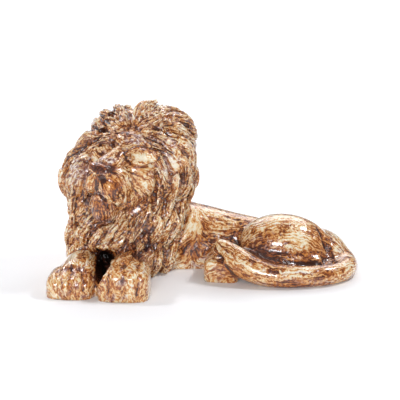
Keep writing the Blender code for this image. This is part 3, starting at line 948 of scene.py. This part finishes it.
def glaze_tone(n, streaks, flow, marks):
    """From dark to light: streaks, patches and veins, then what the figure's own marks add, painted
    highlights, sheen and shade among the tones, and the painted shade of the pocket between the forelegs.
    """
    fine, broad, patches, vein = streaks
    hollow, sunk, tone, ink = marks
    run = n.add("ShaderNodeVectorMath", {0: flow}, operation="LENGTH").outputs["Value"]
    vein = n.math("ABSOLUTE", n.math("SUBTRACT", vein, 0.5))
    mix = n.math("ADD", n.shaped(fine, 0.46, 0.54, -0.28, 0.26), n.shaped(broad, 0.43, 0.57, -0.17, 0.17))
    mix = n.math("MULTIPLY_ADD", n.math("SUBTRACT", patches, 0.5), PATCH_TONE, mix)
    mix = n.math("ADD", mix, n.shaped(vein, 0.0, 0.022, -0.20, 0.03))
    calm = n.math("MINIMUM", n.math("ABSOLUTE", tone), CALM_TONE)
    calm = n.math("MULTIPLY_ADD", calm, CALM_SHARE, 1.0)
    calm = n.math("MULTIPLY", calm, n.math("MULTIPLY_ADD", n.math("MINIMUM", run, 1.0), 0.4, 0.6))
    mix = n.math("MULTIPLY_ADD", mix, calm, MIDDLE_TONE)
    mix = n.math("MULTIPLY_ADD", hollow, GROOVE_TONE, mix)
    mix = n.math("MULTIPLY_ADD", sunk, FOLD_TONE, mix)
    mix = n.math("MULTIPLY_ADD", ink, INK_TONE, n.math("ADD", mix, tone))
    # A tone under -1, as in the pocket between the forelegs, darkens the glaze further: painted shade.
    painted_pocket_shade = n.math("MINIMUM", n.math("ADD", tone, 1.0), 0.0)
    return n.math("ADD", n.math("MAXIMUM", mix, DARKEST_TONE), painted_pocket_shade)


def glaze():
    material = bpy.data.materials.new("streaked_glaze")
    material.use_nodes = True
    n = Nodes(material)
    shader = material.node_tree.nodes["Principled BSDF"]
    place = n.add("ShaderNodeTexCoord").outputs["Object"]
    flow = n.add("ShaderNodeAttribute", attribute_name="flow").outputs["Vector"]
    hollow, sunk, tone, mauve, ink = (
        n.add("ShaderNodeAttribute", attribute_name=name).outputs["Fac"]
        for name in ("hollow", "sunk", "tone", "mauve", "ink"))
    warp = n.vector("SUBTRACT", n.noise(place, BEND_SIZE, output="Color"), (0.5, 0.5, 0.5))
    bent = n.vector("ADD", place, n.scaled(warp, BEND_REACH))
    fine = n.streaks(bent, flow, *FINE_STREAKS, detail=2.0)
    broad = n.streaks(bent, flow, *BROAD_STREAKS)
    patches = n.noise(bent, PATCH_SIZE)
    vein = n.streaks(n.vector("ADD", bent, VEIN_SHIFT), flow, *VEIN_STREAKS)
    mix = glaze_tone(n, (fine, broad, patches, vein), flow, (hollow, sunk, tone, ink))
    veil = n.streaks(n.vector("ADD", bent, VEIL_SHIFT), flow, *VEIL_STREAKS)
    veil = n.math("MULTIPLY_ADD", n.math("SUBTRACT", veil, 0.5), VEIL_MAUVE, MIDDLE_MAUVE)
    veil = n.math("ADD", n.math("MULTIPLY_ADD", hollow, GROOVE_MAUVE, veil), mauve)
    share = n.add("ShaderNodeClamp", {"Value": veil, "Min": 0.0, "Max": MOST_MAUVE}).outputs[0]
    tinted = n.add("ShaderNodeMix", {"Factor": share}, data_type="RGBA")
    n.tree.links.new(n.ramp(mix, WARM_STOPS), tinted.inputs["A"])
    n.tree.links.new(n.ramp(mix, MAUVE_STOPS), tinted.inputs["B"])
    n.tree.links.new(tinted.outputs["Result"], shader.inputs["Base Color"])
    rough = n.add("ShaderNodeMapRange", {"Value": broad, "From Min": 0.35, "From Max": 0.65,
                                         "To Min": 0.14, "To Max": 0.30})
    n.tree.links.new(rough.outputs[0], shader.inputs["Roughness"])
    height = n.math("MULTIPLY_ADD", fine, 1.5, n.noise(place, RIPPLE_SIZE))
    height = n.math("MULTIPLY_ADD", broad, 5.0, height)
    height = n.math("MULTIPLY_ADD", n.noise(place, WAVE_SIZE), 5.0, height)
    bump = n.add("ShaderNodeBump", {"Height": height, "Strength": 1.0, "Distance": RELIEF})
    n.tree.links.new(bump.outputs["Normal"], shader.inputs["Normal"])
    shader.inputs["Coat Weight"].default_value = 0.8
    shader.inputs["Coat Roughness"].default_value = 0.05
    shader.inputs["Coat IOR"].default_value = 1.5
    shader.inputs["IOR"].default_value = 1.45
    return material


def plain(name, color, roughness):
    material = bpy.data.materials.new(name)
    material.use_nodes = True
    shader = material.node_tree.nodes["Principled BSDF"]
    shader.inputs["Base Color"].default_value = color
    shader.inputs["Roughness"].default_value = roughness
    shader.inputs["Specular IOR Level"].default_value = 0
    return material


def floor():
    bm = bmesh.new()
    bmesh.ops.create_grid(bm, x_segments=1, y_segments=1, size=6)
    obj = mesh_object(bm, "floor")
    obj.data.materials.append(plain("pale_floor", (0.93, 0.93, 0.93, 1), 1.0))


# The lamps' colour, a little cooler than white, and the strength of the even light around.
LAMP_COLOR = (0.95, 0.96, 1.0)
AROUND = 0.26

# The lamps: a name, a place and a size in metres, watts, and the point that it faces.
FIGURE_MIDDLE = (0, 0, 0.1)
LAMPS = (
    ("above", (0.8, 0.12, 1.1), (0.3, 0.22), 8, FIGURE_MIDDLE),
    ("left", (-1.2, 0.3, 1.1), (0.3, 0.3), 9, FIGURE_MIDDLE),
    ("front", (-0.4, -2.4, 0.8), (0.8, 0.5), 35, FIGURE_MIDDLE),
    ("behind", (0, 2.6, 2.2), (3.5, 2.5), 85, (0, 2.4, 0)),
)


def lamp(name, place, size, power, target):
    light = bpy.data.lights.new(name, "AREA")
    light.shape = "RECTANGLE"
    light.size, light.size_y = size
    light.energy = power
    light.color = LAMP_COLOR
    obj = bpy.data.objects.new(name, light)
    bpy.context.scene.collection.objects.link(obj)
    obj.location = place
    obj.rotation_euler = (Vector(target) - Vector(place)).to_track_quat("-Z", "Y").to_euler()


def world(strength):
    made = bpy.data.worlds.new("studio")
    made.use_nodes = True
    background = made.node_tree.nodes["Background"]
    background.inputs["Color"].default_value = (1, 1, 1, 1)
    background.inputs["Strength"].default_value = strength
    bpy.context.scene.world = made


# Camera: it looks along +Y from in front and above; the photo shows 3.1 pixels to a unit.
CAMERA_PITCH = 16
CAMERA_DISTANCE = 480
PIXELS_PER_UNIT = 3.1
FRAME_PIXELS = 400
SENSOR = 36
CAMERA_TARGET = Vector((0, 0, 22.1))


def camera(middle):
    data = bpy.data.cameras.new("camera")
    data.sensor_width = SENSOR
    data.lens = SENSOR * CAMERA_DISTANCE / (FRAME_PIXELS / PIXELS_PER_UNIT)
    pitch = math.radians(CAMERA_PITCH)
    back = Vector((0, -math.cos(pitch), math.sin(pitch)))
    obj = bpy.data.objects.new("camera", data)
    bpy.context.scene.collection.objects.link(obj)
    obj.location = (CAMERA_TARGET - middle + back * CAMERA_DISTANCE) * UNIT
    obj.rotation_euler = (-back).to_track_quat("-Z", "Y").to_euler()
    bpy.context.scene.camera = obj


def main():
    figure = lion()
    mark(figure)
    middle = centred(figure)
    figure.data.materials.clear()
    figure.data.materials.append(glaze())
    figure.data.shade_smooth()
    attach(figure, "root")
    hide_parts("lion")
    floor()
    world(AROUND)
    for values in LAMPS:
        lamp(*values)
    bpy.context.scene.view_settings.view_transform = "Standard"
    camera(middle)


main()
